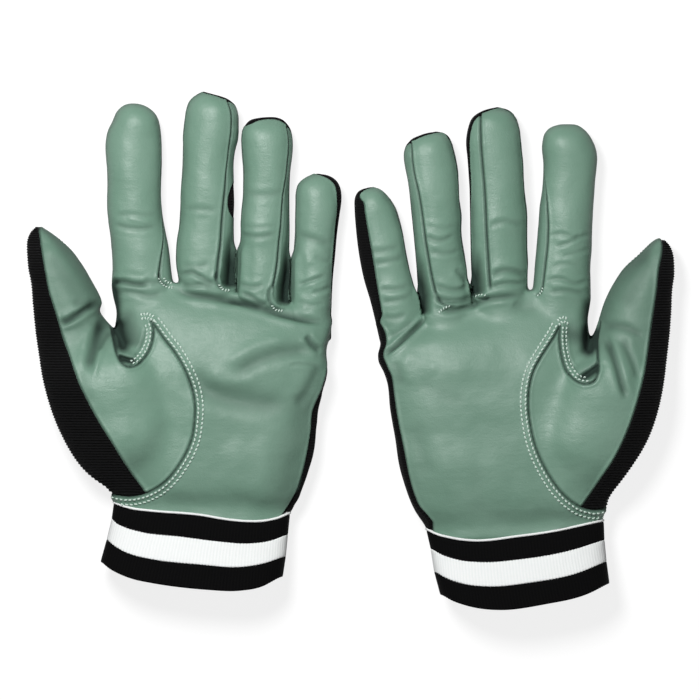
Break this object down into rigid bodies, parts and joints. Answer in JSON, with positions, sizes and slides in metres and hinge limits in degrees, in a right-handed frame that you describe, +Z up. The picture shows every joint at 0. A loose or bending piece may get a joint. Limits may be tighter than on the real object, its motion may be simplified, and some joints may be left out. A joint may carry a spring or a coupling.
{
  "type": "pair of tactical gloves",
  "caption": "Pair of close-fitting duty gloves: leather palms and fingers with stitched thumb insets, ribbed knit backs and striped elastic cuffs; every finger and thumb folds.",
  "frame": {"origin": "middle of the pair at the surface that it lies on", "axes": "+Z up, away from the surface and out of the palms; +Y towards the fingertips; +X from the left glove to the right glove"},
  "size_m": [0.3122, 0.2475, 0.0342],
  "materials": {
    "leather": "soft satin",
    "knit": "matt ribbed knit",
    "elastic": "matt flat-knit elastic",
    "white_trim": "matt flat-knit elastic",
    "thread": "matt thread",
    "lining": "matt"
  },
  "bodies": {
    "left_hand": {"left_palm_leather": "leather", "left_back_knit": "knit", "left_thumb_base_leather": "leather", "left_thumb_side_knit": "knit", "left_thumb_thread_inner": "thread", "left_thumb_thread_outer": "thread", "left_wrist_piping": "white_trim", "left_wrist_facing": "lining", "left_cuff_upper_black": "elastic", "left_cuff_white_stripe": "white_trim", "left_cuff_lower_black": "elastic"},
    "left_index_finger": {"left_index_front_leather": "leather", "left_index_back_knit": "knit", "left_index_little_side_strip": "leather"},
    "left_middle_finger": {"left_middle_front_leather": "leather", "left_middle_back_knit": "knit", "left_middle_little_side_strip": "leather", "left_middle_thumb_side_strip": "leather"},
    "left_ring_finger": {"left_ring_front_leather": "leather", "left_ring_back_knit": "knit", "left_ring_little_side_strip": "leather", "left_ring_thumb_side_strip": "leather"},
    "left_little_finger": {"left_little_front_leather": "leather", "left_little_back_knit": "knit", "left_little_thumb_side_strip": "leather"},
    "left_thumb": {"left_thumb_front_leather": "leather", "left_thumb_back_knit": "knit"},
    "right_hand": {"right_palm_leather": "leather", "right_back_knit": "knit", "right_thumb_base_leather": "leather", "right_thumb_side_knit": "knit", "right_thumb_thread_inner": "thread", "right_thumb_thread_outer": "thread", "right_wrist_piping": "white_trim", "right_wrist_facing": "lining", "right_cuff_upper_black": "elastic", "right_cuff_white_stripe": "white_trim", "right_cuff_lower_black": "elastic"},
    "right_index_finger": {"right_index_front_leather": "leather", "right_index_back_knit": "knit", "right_index_little_side_strip": "leather"},
    "right_middle_finger": {"right_middle_front_leather": "leather", "right_middle_back_knit": "knit", "right_middle_little_side_strip": "leather", "right_middle_thumb_side_strip": "leather"},
    "right_ring_finger": {"right_ring_front_leather": "leather", "right_ring_back_knit": "knit", "right_ring_little_side_strip": "leather", "right_ring_thumb_side_strip": "leather"},
    "right_little_finger": {"right_little_front_leather": "leather", "right_little_back_knit": "knit", "right_little_thumb_side_strip": "leather"},
    "right_thumb": {"right_thumb_front_leather": "leather", "right_thumb_back_knit": "knit"}
  },
  "joints": [
    {"name": "right_glove_aside", "type": "slide", "parent": "left_hand", "child": "right_hand", "axis": [1, 0, 0], "range_m": [0, 0.06]},
    {"name": "left_index_finger_fold", "type": "hinge", "parent": "left_hand", "child": "left_index_finger", "pos_m": [-0.0996, 0.03545, 0.0201], "axis": [0.9986, 0.0524, 0], "range_deg": [0, 80]},
    {"name": "left_middle_finger_fold", "type": "hinge", "parent": "left_hand", "child": "left_middle_finger", "pos_m": [-0.06905, 0.03545, 0.0201], "axis": [0.9997, -0.0234, 0], "range_deg": [0, 80]},
    {"name": "left_ring_finger_fold", "type": "hinge", "parent": "left_hand", "child": "left_ring_finger", "pos_m": [-0.04217, 0.03113, 0.0201], "axis": [0.9995, -0.0314, 0], "range_deg": [0, 80]},
    {"name": "left_little_finger_fold", "type": "hinge", "parent": "left_hand", "child": "left_little_finger", "pos_m": [-0.01815, 0.02249, 0.0186], "axis": [0.998, -0.0637, 0], "range_deg": [0, 80]},
    {"name": "left_thumb_fold", "type": "hinge", "parent": "left_hand", "child": "left_thumb", "pos_m": [-0.13104, 0.00598, 0.0241], "axis": [0.9706, 0.2406, 0], "range_deg": [0, 60]},
    {"name": "right_index_finger_fold", "type": "hinge", "parent": "right_hand", "child": "right_index_finger", "pos_m": [0.10184, 0.03017, 0.0201], "axis": [0.9993, -0.038, 0], "range_deg": [0, 80]},
    {"name": "right_middle_finger_fold", "type": "hinge", "parent": "right_hand", "child": "right_middle_finger", "pos_m": [0.07208, 0.03113, 0.0201], "axis": [0.9998, 0.0187, 0], "range_deg": [0, 80]},
    {"name": "right_ring_finger_fold", "type": "hinge", "parent": "right_hand", "child": "right_ring_finger", "pos_m": [0.04483, 0.02825, 0.0201], "axis": [0.9972, 0.0749, 0], "range_deg": [0, 80]},
    {"name": "right_little_finger_fold", "type": "hinge", "parent": "right_hand", "child": "right_little_finger", "pos_m": [0.02207, 0.01865, 0.0186], "axis": [0.9858, 0.1677, 0], "range_deg": [0, 80]},
    {"name": "right_thumb_fold", "type": "hinge", "parent": "right_hand", "child": "right_thumb", "pos_m": [0.13622, 0.00224, 0.0241], "axis": [0.9838, -0.1794, 0], "range_deg": [0, 60]}
  ]
}
